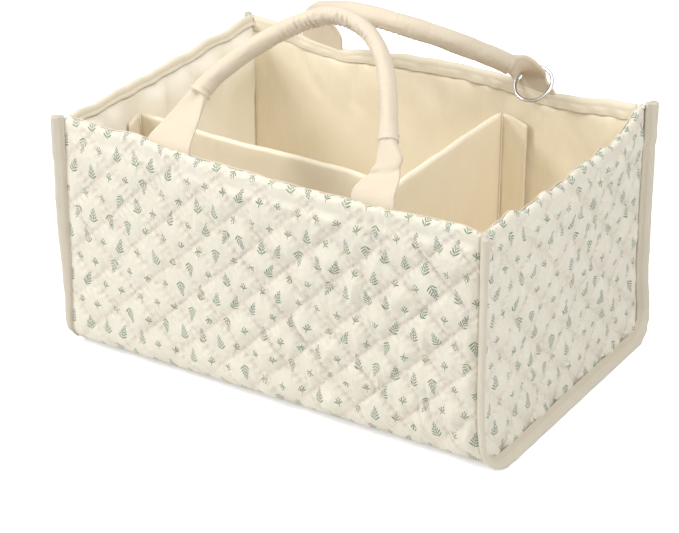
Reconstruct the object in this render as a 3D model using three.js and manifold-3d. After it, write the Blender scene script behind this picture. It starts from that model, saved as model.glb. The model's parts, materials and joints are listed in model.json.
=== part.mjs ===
// Quilted diaper caddy with two padded handles, a steel ring and a divider insert.
// Millimetres, +Z up, +X along the length, +Y to the back. The origin is the middle of the base.
// Every sewn piece is drawn straight first, and soften() then lets it bulge and sag as cloth does.
import * as THREE from 'three';
import { mergeVertices } from 'three/addons/utils/BufferGeometryUtils.js';
import Module from 'manifold-3d';

const wasm = await Module();
wasm.setup();

// Body, as cut
const panelLength = 344; // corner seam to corner seam
const panelDepth = 246;
const wallHeight = 178;
const bottomRadius = 24; // rounded lower edge of the wrap panel
const quiltThickness = 3;
const boardThickness = 1.6;
const liningThickness = 1;
const layerGap = 0.3; // between sewn layers

// Body, as it stands: corners stand up, walls sag between them and bulge
const frontLeftRise = 11.5;
const frontRightRise = 10.5;
const backRightRise = 10;
const backLeftRise = 7;
const frontDip = 4;
const backDip = 5.5;
const leftDip = 5.5;
const rightDip = 9;
const endBulge = 6;
const sideBulge = 5;
const endFlare = 6; // the ends spread outward at the floor
const flareHeight = 60;
const wallSteps = 10; // facets along a wall sheet

// Rim hem and edge binding
const hemThickness = 1.5;
const hemDepth = 14;
const bindingReach = 8;
const bindingThickness = 4.5;
const bindingFoldLength = 30; // doubled end at the rim
const bindingFoldExtra = 1;

// Handles
const footWidth = 36;
const strapThickness = 3;
const anchorDepth = 30; // sewn-in length of a strap
const anchorRidge = 0.6; // thickness of the sewn edge that the strap folds on
const hingeRise = 5; // fold line above the rim
const hingeClearance = 0.35;
const sleeveDiameter = 15;
const sleeveWall = 1.5;
const neckWidth = 17;
const neckThickness = 14;
const heelTaper = 0.6; // share of the strap's thickness left at the rounded heel on the fold
const heelDrop = 1.2; // heel below the fold line
const flatShare = 0.2; // share of the strap that stays flat before it closes to the sleeve
const frontLean = 45; // degrees from upright
const rearLean = 56;

// Ring
const ringRadius = 14.5;
const ringWireRadius = 1.4;
const ringTilt = 50; // degrees from upright
const ringDrop = 5; // middle of the ring below the fold line, along its own plane
const ringClearance = 0.6;

// Divider insert
const dividerTop = 153;
const dividerBoard = 2.4;
const dividerCloth = 1;
const crossDividerX = 57;
const longDividerY = -38;
const flapReach = 20;
const leftFlapReach = 13;
const flapThickness = 1.2;
const tapeThickness = 1;
const tapeMargin = 4; // tape edge to flap edge
const tapeBottom = 70;
const hookGap = 0.8; // hook tape to loop tape

// Worked out from the sizes above
const halfLength = panelLength / 2;
const halfDepth = panelDepth / 2;
const boardInset = quiltThickness + layerGap;
const liningInset = boardInset + boardThickness + layerGap;
const wallThickness = liningInset + liningThickness;
const floorTop = wallThickness + layerGap;
const hemBottom = wallHeight - hemDepth;
const underHem = wallHeight - hemThickness - layerGap;
const boardTop = underHem - anchorDepth - layerGap;
const anchorInset = boardInset + boardThickness / 2;
const ringBore = ringRadius - ringWireRadius;
const ringInnerWidth = 2 * (Math.sqrt(ringBore ** 2 - ringDrop ** 2) - ringClearance);
const dividerHalf = dividerBoard / 2 + layerGap + dividerCloth;
const hookInset = wallThickness + layerGap + tapeThickness + hookGap;
const flapInset = hookInset + tapeThickness + layerGap;
const dividerEndInset = flapInset + flapThickness + layerGap;

// Feet, neck and top of each loop, along the wall and up the strap
const frontHandle = {
  name: 'front_handle', side: -1, lean: -frontLean, left: -81, right: 87,
  neckIn: 8, neckUp: 44, topX: 8, topUp: 122, leftPull: [18, 30], rightPull: [26, 36],
  rightFootWidth: footWidth,
};
const rearHandle = {
  name: 'rear_handle', side: 1, lean: rearLean, left: -98, right: 82,
  neckIn: 8, neckUp: 43, topX: -5, topUp: 115, leftPull: [22, 34], rightPull: [30, 38],
  rightFootWidth: ringInnerWidth,
};

// Finishes
function cloth(colour) {
  return new THREE.MeshStandardMaterial({ color: colour, roughness: 0.9, metalness: 0 });
}
const quilted = cloth(0xf0ebdd);
const lining = cloth(0xe9dcc0);
const bindingTape = cloth(0xe3dcc6);
const handleCloth = cloth(0xeadfc8);
const coreCotton = cloth(0xf4f1e8);
const fastenerTape = cloth(0xefe9da);
const greyBoard = new THREE.MeshStandardMaterial({ color: 0xd8d5cc, roughness: 0.7, metalness: 0 });
const polishedSteel = new THREE.MeshStandardMaterial({ color: 0xc9cacb, roughness: 0.15, metalness: 1 });

const caddy = new THREE.Group();

function add(name, geometry, material, parent = caddy) {
  const mesh = new THREE.Mesh(geometry, material);
  mesh.name = name;
  parent.add(mesh);
  return mesh;
}

// How far the rim stands above the cut wall height at a place in plan
function rimRise(u, v) {
  const left = frontLeftRise * (1 - v) + backLeftRise * (1 + v);
  const right = frontRightRise * (1 - v) + backRightRise * (1 + v);
  const corners = (left * (1 - u) + right * (1 + u)) / 4;
  const sideDip = (v < 0 ? frontDip : backDip) * v * v * (1 - u * u);
  const endDip = (u < 0 ? leftDip : rightDip) * u * u * (1 - v * v);
  return corners - sideDip - endDip;
}

// Bulge and sag. The walls widen steadily from the floor to the rim.
function settle(x, y, z) {
  const u = THREE.MathUtils.clamp(x / halfLength, -1, 1);
  const v = THREE.MathUtils.clamp(y / halfDepth, -1, 1);
  const height = z / wallHeight;
  return new THREE.Vector3(
    x + endBulge * (1 - v * v) * u ** 3 * height,
    y + sideBulge * (1 - u * u) * v ** 3 * height,
    z * (1 + rimRise(u, v) / wallHeight),
  );
}

// The shell also flares at the foot of its ends
function soften(x, y, z) {
  const point = settle(x, y, z);
  const u = THREE.MathUtils.clamp(x / halfLength, -1, 1);
  const low = Math.max(0, 1 - z / flareHeight);
  point.x += endFlare * u ** 3 * low * low;
  return point;
}

function bare(geometry) {
  geometry.deleteAttribute('normal');
  geometry.deleteAttribute('uv');
  return mergeVertices(geometry);
}

// Moves every corner of a geometry to where place(x, y, z) says
function reshape(geometry, place) {
  const corners = geometry.attributes.position;
  for (let i = 0; i < corners.count; i += 1) {
    const point = place(corners.getX(i), corners.getY(i), corners.getZ(i));
    corners.setXYZ(i, point.x, point.y, point.z);
  }
  return geometry;
}

// A block divided into steps, with place() taking shares from 0 to 1 along X, Y and Z
function block(stepsX, stepsY, stepsZ, place) {
  const cube = bare(new THREE.BoxGeometry(1, 1, 1, stepsX, stepsY, stepsZ));
  return reshape(cube, (x, y, z) => place(x + 0.5, y + 0.5, z + 0.5));
}

function boxBetween(low, high, steps, shape) {
  return block(...steps, (a, b, c) => shape(
    THREE.MathUtils.lerp(low[0], high[0], a),
    THREE.MathUtils.lerp(low[1], high[1], b),
    THREE.MathUtils.lerp(low[2], high[2], c),
  ));
}

// Heights at which every wall sheet is divided, so that neighbouring layers bend alike
function wallLevels(top) {
  const flareMiddle = (bottomRadius + flareHeight) / 2;
  const levels = [flareMiddle, flareHeight, (flareHeight + boardTop) / 2, boardTop];
  return top > boardTop ? [...levels, top] : levels;
}

// Places along the front, round under the base and up the back, with the way that faces out
function wrapStations(top) {
  const curveSteps = 5;
  const flatHalf = halfDepth - bottomRadius;
  const front = wallLevels(top).reverse().map((z) => ({ y: -halfDepth, z, outY: -1, outZ: 0 }));
  for (let i = 0; i <= curveSteps; i += 1) {
    const turn = (i / curveSteps) * Math.PI / 2;
    const outY = -Math.cos(turn);
    const outZ = -Math.sin(turn);
    front.push({ y: -flatHalf + bottomRadius * outY, z: bottomRadius * (1 + outZ), outY, outZ });
  }
  const back = front.map((s) => ({ ...s, y: -s.y, outY: -s.outY })).reverse();
  return [...front, { y: 0, z: 0, outY: 0, outZ: -1 }, ...back];
}

function inward(station, inset) {
  return [station.y - station.outY * inset, station.z - station.outZ * inset];
}

// A sheet that runs down the front, under the base and up the back
function wrapSheet(reach, inset, thickness, top) {
  const stations = wrapStations(top);
  const last = stations.length - 1;
  return block(wallSteps, 1, last, (a, b, c) => {
    const [y, z] = inward(stations[Math.round(c * last)], inset + thickness * (1 - b));
    return soften(THREE.MathUtils.lerp(-reach, reach, a), y, z);
  });
}

// A sheet that closes an end, with its lower corners rounded to fit inside the wrap
function endSheet(side, faceInset, thickness, outlineInset, top) {
  const curveRows = 4;
  const radius = bottomRadius - outlineInset;
  const rows = [];
  for (let i = 0; i <= curveRows; i += 1) {
    const turn = (i / curveRows) * Math.PI / 2;
    rows.push([bottomRadius - radius * Math.cos(turn), halfDepth - bottomRadius + radius * Math.sin(turn)]);
  }
  for (const z of wallLevels(top)) {
    rows.push([z, halfDepth - outlineInset]);
  }
  return block(1, wallSteps, rows.length - 1, (a, b, c) => {
    const [z, reach] = rows[Math.round(c * (rows.length - 1))];
    const out = side > 0 ? a : 1 - a;
    const x = halfLength - faceInset - thickness * (1 - out);
    return soften(side * x, THREE.MathUtils.lerp(-reach, reach, b), z);
  });
}

// Outer cloth
const quiltTop = underHem;
add('wrap_outer_panel', wrapSheet(halfLength, 0, quiltThickness, quiltTop), quilted);
const ends = { left: -1, right: 1 };
for (const [name, side] of Object.entries(ends)) {
  add(`${name}_outer_panel`, endSheet(side, 0, quiltThickness, boardInset, quiltTop), quilted);
}

// Stiffener boards
const boardReach = halfLength - boardInset - boardThickness - layerGap;
const boardFace = halfDepth - boardInset;
const boardLevels = [bottomRadius, ...wallLevels(boardTop)];
for (const [name, side] of Object.entries({ front: -1, back: 1 })) {
  const middle = side * (boardFace - boardThickness / 2);
  add(`${name}_stiffener`, block(wallSteps, 1, boardLevels.length - 1, (a, b, c) => soften(
    THREE.MathUtils.lerp(-boardReach, boardReach, a),
    middle + boardThickness * (b - 0.5),
    boardLevels[Math.round(c * (boardLevels.length - 1))],
  )), greyBoard);
}
for (const [name, side] of Object.entries(ends)) {
  add(`${name}_stiffener`, endSheet(side, boardInset, boardThickness, boardInset, boardTop), greyBoard);
}
const baseReach = halfDepth - bottomRadius;
add('base_stiffener', boxBetween(
  [-boardReach, -baseReach, boardInset],
  [boardReach, baseReach, boardInset + boardThickness],
  [8, 4, 1],
  soften,
), greyBoard);

// Lining
const liningTop = hemBottom - layerGap;
add('wrap_lining', wrapSheet(halfLength - liningInset, liningInset, liningThickness, liningTop), lining);
for (const [name, side] of Object.entries(ends)) {
  const outline = wallThickness + layerGap;
  add(`${name}_lining`, endSheet(side, liningInset, liningThickness, outline, liningTop), lining);
}

// Rim hems: a cap over the wall with a leg down its inside, drawn from the outer face inward
function hemOutline() {
  const outline = new THREE.Shape();
  outline.moveTo(0, wallHeight);
  outline.lineTo(0, wallHeight - hemThickness);
  outline.lineTo(liningInset, wallHeight - hemThickness);
  outline.lineTo(liningInset, hemBottom);
  outline.lineTo(wallThickness, hemBottom);
  outline.lineTo(wallThickness, wallHeight);
  return outline;
}

function hemStrip(reach, steps) {
  const settings = { depth: 2 * reach, steps, bevelEnabled: false };
  return bare(new THREE.ExtrudeGeometry(hemOutline(), settings));
}

function toSolid(geometry) {
  return new wasm.Manifold(new wasm.Mesh({
    numProp: 3,
    vertProperties: new Float32Array(geometry.attributes.position.array),
    triVerts: new Uint32Array(geometry.index.array),
  }));
}

function toGeometry(solid) {
  const mesh = solid.getMesh();
  const geometry = new THREE.BufferGeometry();
  geometry.setAttribute('position', new THREE.BufferAttribute(new Float32Array(mesh.vertProperties), 3));
  geometry.setIndex(new THREE.BufferAttribute(new Uint32Array(mesh.triVerts), 1));
  return geometry;
}

// The front and back hems have a slot for each handle anchor, and their legs stop at the end walls
function slottedHem(handle) {
  const slotDepth = boardThickness + 2 * layerGap;
  const slotWidth = footWidth + 2 * layerGap;
  const drawn = hemStrip(halfLength, 12);
  const strip = reshape(drawn, (inset, z, along) => new THREE.Vector3(
    handle.side * (halfLength - along),
    handle.side * (halfDepth - inset),
    z,
  ));
  let solid = toSolid(strip);
  for (const x of [handle.left, handle.right]) {
    const slot = bare(new THREE.BoxGeometry(slotWidth, slotDepth, 4 * hemThickness));
    slot.translate(x, handle.side * (halfDepth - anchorInset), wallHeight);
    solid = solid.subtract(toSolid(slot));
  }
  const cornerWidth = wallThickness + layerGap;
  for (const end of [-1, 1]) {
    const corner = bare(new THREE.BoxGeometry(2 * cornerWidth, 3 * wallThickness, 2 * hemDepth));
    corner.translate(end * halfLength, handle.side * halfDepth, wallHeight - hemThickness - hemDepth);
    solid = solid.subtract(toSolid(corner));
  }
  return reshape(toGeometry(solid), soften);
}
add('front_top_hem', slottedHem(frontHandle), quilted);
add('back_top_hem', slottedHem(rearHandle), quilted);

const endHemReach = halfDepth - wallThickness - layerGap;
for (const [name, side] of Object.entries(ends)) {
  const strip = hemStrip(endHemReach, 8);
  add(`${name}_top_hem`, reshape(strip, (inset, z, along) => soften(
    side * (halfLength - inset),
    side * (along - endHemReach),
    z,
  )), quilted);
}

// Edge binding: a folded tape that stands out along the two uprights and the foot of an end
function edgeBinding(side) {
  const stations = wrapStations(wallHeight);
  const last = stations.length - 1;
  return block(2, 2, last, (a, b, c) => {
    const index = Math.round(c * last);
    const station = stations[index];
    const before = stations[Math.max(0, index - 1)];
    const after = stations[Math.min(last, index + 1)];
    const run = new THREE.Vector3(0, after.y - before.y, after.z - before.z).normalize();
    const out = new THREE.Vector3(side, station.outY, 0).normalize();
    const across = new THREE.Vector3().crossVectors(run, out).normalize();
    const folded = station.z > wallHeight - bindingFoldLength;
    const half = (bindingThickness + (folded ? bindingFoldExtra : 0)) / 2;
    const [y, z] = inward(station, bindingThickness / 2);
    const seat = (layerGap + half * Math.abs(out.y)) / Math.abs(out.x);
    const reach = seat + bindingReach * (side > 0 ? a : 1 - a);
    const point = soften(side * halfLength, y, z);
    point.x = soften(side * halfLength, station.y, station.z).x;
    return point.addScaledVector(out, reach).addScaledVector(across, side * half * (2 * b - 1));
  });
}
for (const [name, side] of Object.entries(ends)) {
  add(`${name}_edge_binding`, edgeBinding(side), bindingTape);
}

// Handles. Each folds on a line along the wall, just above its rim.
function hingeOf(handle) {
  const feet = [handle.left, handle.right];
  const rims = feet.map((x) => soften(x, handle.side * (halfDepth - anchorInset), wallHeight));
  const y = (rims[0].y + rims[1].y) / 2;
  const z = Math.max(rims[0].z, rims[1].z) + hingeRise;
  return { y, z };
}

// The end of a strap inside the wall, drawn in to a thin sewn edge as wide as the strap at the fold
function anchor(handle, x, strapWidth) {
  const hinge = hingeOf(handle);
  const levels = [underHem - anchorDepth, wallHeight];
  const ridge = hinge.z - strapThickness / 2 - hingeClearance;
  return block(4, 1, 2, (a, b, c) => {
    if (c > 0.75) {
      return new THREE.Vector3(x + strapWidth * (a - 0.5), hinge.y + anchorRidge * (b - 0.5), ridge);
    }
    const across = handle.side * (halfDepth - anchorInset) + boardThickness * (b - 0.5);
    return soften(x + footWidth * (a - 0.5), across, levels[Math.round(c * 2)]);
  });
}

// A strap from the fold to the neck: flat at the foot, drawn in to a round section at the sleeve
function strap(footX, neckX, neckUp, width) {
  const rows = 6;
  const tilt = Math.atan2(neckX - footX, neckUp);
  const drawn = bare(new THREE.CylinderGeometry(1, 1, 1, 12, rows + 1));
  return reshape(drawn, (x, y, z) => {
    const row = Math.round((y + 0.5) * (rows + 1)) - 1;
    const share = Math.max(0, row) / rows;
    const closing = THREE.MathUtils.smoothstep(share, flatShare, 1);
    const halfWidth = THREE.MathUtils.lerp(width, neckWidth, share) / 2;
    const heel = row < 0 ? heelTaper : 1;
    const halfThick = heel * THREE.MathUtils.lerp(strapThickness, neckThickness, closing) / 2;
    const up = row < 0 ? -heelDrop : neckUp * share;
    const turn = tilt * share;
    const offset = x * halfWidth;
    return new THREE.Vector3(
      THREE.MathUtils.lerp(footX, neckX, share) + offset * Math.cos(turn),
      -z * halfThick,
      up - offset * Math.sin(turn),
    );
  });
}

// The loop from neck to neck, starting and ending in line with the straps
function loopCurve(handle, setback) {
  const start = new THREE.Vector3(handle.left + handle.neckIn, 0, handle.neckUp);
  const end = new THREE.Vector3(handle.right - handle.neckIn, 0, handle.neckUp);
  const top = new THREE.Vector3(handle.topX, 0, handle.topUp);
  const rise = new THREE.Vector3(handle.neckIn, 0, handle.neckUp).normalize();
  const fall = new THREE.Vector3(-handle.neckIn, 0, handle.neckUp).normalize();
  const level = new THREE.Vector3(1, 0, 0);
  const from = start.clone().addScaledVector(rise, setback);
  const to = end.clone().addScaledVector(fall, setback);
  const path = new THREE.CurvePath();
  path.add(new THREE.CubicBezierCurve3(
    from,
    start.clone().addScaledVector(rise, handle.leftPull[0]),
    top.clone().addScaledVector(level, -handle.leftPull[1]),
    top,
  ));
  path.add(new THREE.CubicBezierCurve3(
    top,
    top.clone().addScaledVector(level, handle.rightPull[1]),
    end.clone().addScaledVector(fall, handle.rightPull[0]),
    to,
  ));
  return path;
}

function tube(path, radius, boreRadius) {
  const section = new THREE.Shape();
  section.absarc(0, 0, radius, 0, 2 * Math.PI, false);
  if (boreRadius > 0) {
    const bore = new THREE.Path();
    bore.absarc(0, 0, boreRadius, 0, 2 * Math.PI, true);
    section.holes.push(bore);
  }
  return bare(new THREE.ExtrudeGeometry(section, {
    steps: 22, curveSegments: 5, bevelEnabled: false, extrudePath: path,
  }));
}

for (const handle of [frontHandle, rearHandle]) {
  const hinge = hingeOf(handle);
  const wall = handle.side < 0 ? 'front' : 'back';
  add(`${wall}_left_handle_anchor`, anchor(handle, handle.left, footWidth), handleCloth);
  add(`${wall}_right_handle_anchor`, anchor(handle, handle.right, handle.rightFootWidth), handleCloth);
  const swing = new THREE.Group();
  swing.position.set(0, hinge.y, hinge.z);
  swing.rotation.x = THREE.MathUtils.degToRad(handle.lean);
  caddy.add(swing);
  const leftNeck = handle.left + handle.neckIn;
  const rightNeck = handle.right - handle.neckIn;
  const leftStrap = strap(handle.left, leftNeck, handle.neckUp, footWidth);
  const rightStrap = strap(handle.right, rightNeck, handle.neckUp, handle.rightFootWidth);
  add(`${handle.name}_left_strap`, leftStrap, handleCloth, swing);
  add(`${handle.name}_right_strap`, rightStrap, handleCloth, swing);
  const loop = loopCurve(handle, layerGap);
  const boreRadius = sleeveDiameter / 2 - sleeveWall;
  add(`${handle.name}_sleeve`, tube(loop, sleeveDiameter / 2, boreRadius), handleCloth, swing);
  add(`${handle.name}_core`, tube(loop, boreRadius - layerGap, 0), coreCotton, swing);
}

// Ring round the rear handle's right foot, hanging from the fold line
const rearHinge = hingeOf(rearHandle);
const ring = add('ring', bare(new THREE.TorusGeometry(ringRadius, ringWireRadius, 8, 28)), polishedSteel);
const ringTurn = THREE.MathUtils.degToRad(90 - ringTilt);
ring.position.set(
  rearHandle.right,
  rearHinge.y - ringDrop * Math.cos(ringTurn),
  rearHinge.z - ringDrop * Math.sin(ringTurn),
);
ring.rotation.x = ringTurn;

// Divider insert: each divider is a board in a folded cover that is open below
function coverOutline() {
  const outline = new THREE.Shape();
  const inner = dividerHalf - dividerCloth;
  const under = dividerTop - dividerCloth;
  outline.moveTo(-dividerHalf, floorTop);
  outline.lineTo(-inner, floorTop);
  outline.lineTo(-inner, under);
  outline.lineTo(inner, under);
  outline.lineTo(inner, floorTop);
  outline.lineTo(dividerHalf, floorTop);
  outline.lineTo(dividerHalf, dividerTop);
  outline.lineTo(-dividerHalf, dividerTop);
  return outline;
}

function cover(length) {
  return bare(new THREE.ExtrudeGeometry(coverOutline(), { depth: length, steps: 8, bevelEnabled: false }));
}

// The lining floor, which curves up to the front and back walls
function floorAt(y) {
  const past = Math.max(0, Math.abs(y) - (halfDepth - bottomRadius));
  const radius = bottomRadius - floorTop;
  return bottomRadius - Math.sqrt(Math.max(0, radius ** 2 - past ** 2));
}
const overFloor = (x, y, z) => settle(x, y, Math.max(z, floorAt(y)));

const boardCeiling = dividerTop - dividerCloth - layerGap;
const crossReach = halfDepth - dividerEndInset;
add('cross_divider_cover', reshape(cover(2 * crossReach), (across, z, along) => overFloor(
  crossDividerX + across,
  crossReach - along,
  z,
)), lining);
add('cross_divider_board', boxBetween(
  [crossDividerX - dividerBoard / 2, -crossReach, floorTop],
  [crossDividerX + dividerBoard / 2, crossReach, boardCeiling],
  [1, 8, 1],
  overFloor,
), greyBoard);

const longStart = dividerEndInset - halfLength;
const longEnd = crossDividerX - dividerHalf - layerGap;
add('long_divider_cover', reshape(cover(longEnd - longStart), (across, z, along) => settle(
  longStart + along,
  longDividerY + across,
  z,
)), lining);
add('long_divider_board', boxBetween(
  [longStart, longDividerY - dividerBoard / 2, floorTop],
  [longEnd, longDividerY + dividerBoard / 2, boardCeiling],
  [6, 1, 1],
  settle,
), greyBoard);

// Flaps that fold flat against a wall, each with a hook tape, and the loop tape sewn on the wall.
// place(along, inset, z) puts a point along the wall from the fold and in from the outer face, and
// sides gives the flap's two upright edges, in the order that keeps its faces pointing out.
function flap(name, sides, place) {
  const steps = [3, 1, 4];
  const inMargin = tapeMargin * Math.sign(sides[1] - sides[0]);
  const tapeSides = [sides[0] + inMargin, sides[1] - inMargin];
  const tapeTop = dividerTop - tapeMargin;
  const cloth = [flapInset + flapThickness, flapInset];
  const hook = [hookInset + tapeThickness, hookInset];
  const loop = [wallThickness + layerGap + tapeThickness, wallThickness + layerGap];
  const moving = (...p) => settle(...place(...p));
  const sewn = (...p) => soften(...place(...p));
  const sheet = ([from, to], [inner, outer], bottom, top, shape) => boxBetween(
    [from, inner, bottom],
    [to, outer, top],
    steps,
    shape,
  );
  add(`${name}_flap`, sheet(sides, cloth, bottomRadius, dividerTop, moving), lining);
  add(`${name}_hook_tape`, sheet(tapeSides, hook, tapeBottom, tapeTop, moving), fastenerTape);
  add(`${name}_loop_tape`, sheet(tapeSides, loop, tapeBottom, tapeTop, sewn), fastenerTape);
}
const foldOut = dividerHalf + layerGap;
flap('back', [0, flapReach], (along, inset, z) => [crossDividerX + foldOut + along, halfDepth - inset, z]);
flap('front', [0, flapReach], (along, inset, z) => [crossDividerX - foldOut - along, inset - halfDepth, z]);
flap('left', [leftFlapReach, 0], (along, inset, z) => [inset - halfLength, longDividerY - foldOut - along, z]);

export default caddy;
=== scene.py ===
# %% [markdown]
# # A quilted diaper caddy
# The caddy is an open cloth basket. Its walls are quilted cotton over thin boards, the inside is a
# plain cream lining, and the ends are edged with a folded tape. Two padded loops carry it, a steel
# ring hangs on one loop's foot, and a divider makes three compartments. The solids and their joints
# are packed already, so this lesson dresses that frame with cloth, stitch by stitch.

# %% Load the frame
import json
import math
import bmesh
import bpy
from mathutils import Matrix, Vector, noise
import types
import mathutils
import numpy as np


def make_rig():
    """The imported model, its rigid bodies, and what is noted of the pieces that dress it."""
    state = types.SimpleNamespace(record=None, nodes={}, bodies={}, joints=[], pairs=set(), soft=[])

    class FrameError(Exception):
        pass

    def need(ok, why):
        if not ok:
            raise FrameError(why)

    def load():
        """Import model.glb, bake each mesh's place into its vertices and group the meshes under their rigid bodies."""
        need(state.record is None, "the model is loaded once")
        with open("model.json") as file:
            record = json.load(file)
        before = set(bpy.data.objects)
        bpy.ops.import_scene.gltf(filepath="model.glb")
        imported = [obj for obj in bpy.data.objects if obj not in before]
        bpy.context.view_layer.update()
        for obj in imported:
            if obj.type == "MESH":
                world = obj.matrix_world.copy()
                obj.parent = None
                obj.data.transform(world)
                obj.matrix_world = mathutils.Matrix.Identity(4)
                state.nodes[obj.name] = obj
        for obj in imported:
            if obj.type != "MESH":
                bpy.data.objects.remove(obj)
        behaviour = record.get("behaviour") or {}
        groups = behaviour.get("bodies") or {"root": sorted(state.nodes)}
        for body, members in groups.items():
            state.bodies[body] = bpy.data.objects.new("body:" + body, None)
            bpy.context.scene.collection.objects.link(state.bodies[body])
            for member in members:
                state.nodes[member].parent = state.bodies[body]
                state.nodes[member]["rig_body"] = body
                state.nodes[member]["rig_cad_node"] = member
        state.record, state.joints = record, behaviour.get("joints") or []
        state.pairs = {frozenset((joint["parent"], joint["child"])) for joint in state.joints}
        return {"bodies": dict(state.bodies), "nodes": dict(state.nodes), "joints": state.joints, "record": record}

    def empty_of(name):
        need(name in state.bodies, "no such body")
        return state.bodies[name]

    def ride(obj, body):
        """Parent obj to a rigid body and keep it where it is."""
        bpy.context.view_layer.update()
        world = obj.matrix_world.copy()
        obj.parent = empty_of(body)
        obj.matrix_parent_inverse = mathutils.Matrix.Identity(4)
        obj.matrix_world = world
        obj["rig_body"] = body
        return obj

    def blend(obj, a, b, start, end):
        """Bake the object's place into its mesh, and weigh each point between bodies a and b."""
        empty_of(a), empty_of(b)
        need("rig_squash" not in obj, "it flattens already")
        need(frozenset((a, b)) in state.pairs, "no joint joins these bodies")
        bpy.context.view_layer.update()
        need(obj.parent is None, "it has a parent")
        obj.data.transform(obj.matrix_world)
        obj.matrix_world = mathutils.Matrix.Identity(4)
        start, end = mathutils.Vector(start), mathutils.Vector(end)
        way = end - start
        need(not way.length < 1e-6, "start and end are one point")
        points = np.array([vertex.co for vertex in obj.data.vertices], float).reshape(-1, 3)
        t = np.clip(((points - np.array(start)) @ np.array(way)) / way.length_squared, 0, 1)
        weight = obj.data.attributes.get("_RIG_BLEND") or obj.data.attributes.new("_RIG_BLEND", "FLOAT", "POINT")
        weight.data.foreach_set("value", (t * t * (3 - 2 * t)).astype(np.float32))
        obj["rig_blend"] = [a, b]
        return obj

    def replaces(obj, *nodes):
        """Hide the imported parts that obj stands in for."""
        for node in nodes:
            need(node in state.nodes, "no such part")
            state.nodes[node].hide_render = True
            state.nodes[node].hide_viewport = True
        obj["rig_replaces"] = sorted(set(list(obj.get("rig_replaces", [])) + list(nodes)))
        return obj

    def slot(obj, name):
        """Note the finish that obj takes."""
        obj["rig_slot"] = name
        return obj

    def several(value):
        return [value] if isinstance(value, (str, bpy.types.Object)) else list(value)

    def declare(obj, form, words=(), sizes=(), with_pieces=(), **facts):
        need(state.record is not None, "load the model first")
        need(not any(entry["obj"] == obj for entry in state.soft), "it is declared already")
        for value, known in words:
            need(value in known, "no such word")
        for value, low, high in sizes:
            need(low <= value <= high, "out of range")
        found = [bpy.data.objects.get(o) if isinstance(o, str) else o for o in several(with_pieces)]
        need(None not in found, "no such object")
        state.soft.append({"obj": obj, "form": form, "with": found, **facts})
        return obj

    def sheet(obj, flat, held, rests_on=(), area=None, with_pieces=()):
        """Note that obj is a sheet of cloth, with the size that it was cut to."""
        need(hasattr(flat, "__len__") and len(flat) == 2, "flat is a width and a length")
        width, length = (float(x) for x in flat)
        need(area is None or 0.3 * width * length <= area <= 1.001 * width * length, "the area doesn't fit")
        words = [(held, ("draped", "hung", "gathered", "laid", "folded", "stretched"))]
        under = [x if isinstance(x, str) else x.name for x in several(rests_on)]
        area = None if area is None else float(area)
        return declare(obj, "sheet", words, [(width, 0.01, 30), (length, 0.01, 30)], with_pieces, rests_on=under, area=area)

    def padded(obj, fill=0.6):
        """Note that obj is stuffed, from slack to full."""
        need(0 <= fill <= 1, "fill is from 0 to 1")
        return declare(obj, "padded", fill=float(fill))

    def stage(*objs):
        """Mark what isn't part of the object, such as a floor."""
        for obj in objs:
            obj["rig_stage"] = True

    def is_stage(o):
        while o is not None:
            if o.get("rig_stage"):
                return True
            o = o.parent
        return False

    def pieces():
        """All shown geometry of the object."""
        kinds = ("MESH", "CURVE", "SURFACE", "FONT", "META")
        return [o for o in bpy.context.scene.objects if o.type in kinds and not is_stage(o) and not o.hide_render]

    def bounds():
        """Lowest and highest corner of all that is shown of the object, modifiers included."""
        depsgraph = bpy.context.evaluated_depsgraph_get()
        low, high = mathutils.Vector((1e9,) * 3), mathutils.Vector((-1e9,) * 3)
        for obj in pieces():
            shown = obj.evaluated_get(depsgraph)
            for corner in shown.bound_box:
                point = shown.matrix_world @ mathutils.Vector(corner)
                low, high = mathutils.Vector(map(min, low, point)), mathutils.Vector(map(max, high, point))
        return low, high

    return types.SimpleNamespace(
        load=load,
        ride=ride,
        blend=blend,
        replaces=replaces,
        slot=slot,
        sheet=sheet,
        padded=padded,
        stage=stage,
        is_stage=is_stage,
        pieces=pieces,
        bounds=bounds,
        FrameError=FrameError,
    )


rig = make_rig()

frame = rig.load()
cad_box = [list(corner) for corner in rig.bounds()]
joints = {joint["name"]: joint for joint in frame["joints"]}
print("solids", len(frame["nodes"]), "joints", len(joints))

# %% [markdown]
# ## The view
# A camera can be matched to a picture by eye or by its corners. Here the caddy's corners and lower
# edges gave the place of the eye and a focal length in pixels, so the lens follows from the width
# of the picture. Sizes in this lesson are millimetres and become metres when a mesh is made.

# %% Camera
MM = 0.001
picture_width = 679
focal_pixels = 2775.96
azimuth = math.radians(31.712)
elevation = math.radians(27.387)
eye = Vector((956.3, -1571.2, 1014.3)) * MM

level = math.cos(elevation)
to_eye = Vector((math.sin(azimuth) * level, -math.cos(azimuth) * level, math.sin(elevation)))
to_right = Vector((math.cos(azimuth), math.sin(azimuth), 0))
turn = Matrix((to_right, to_eye.cross(to_right), to_eye)).transposed()
camera = bpy.data.objects.new("camera", bpy.data.cameras.new("camera"))
camera.data.lens = focal_pixels / picture_width * camera.data.sensor_width
camera.matrix_world = Matrix.Translation(eye) @ turn.to_4x4()
bpy.context.collection.objects.link(camera)
bpy.context.scene.camera = camera
bpy.context.scene.view_settings.view_transform = "Standard"
print("lens", round(camera.data.lens, 1), "mm")

# %% [markdown]
# ## Writing shaders as sums
# A finish is a web of nodes. Linking each by hand is slow to read, so this small class wraps a
# socket: a sum on two wires adds the Math node that works it out, and `node` adds any other kind.

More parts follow.
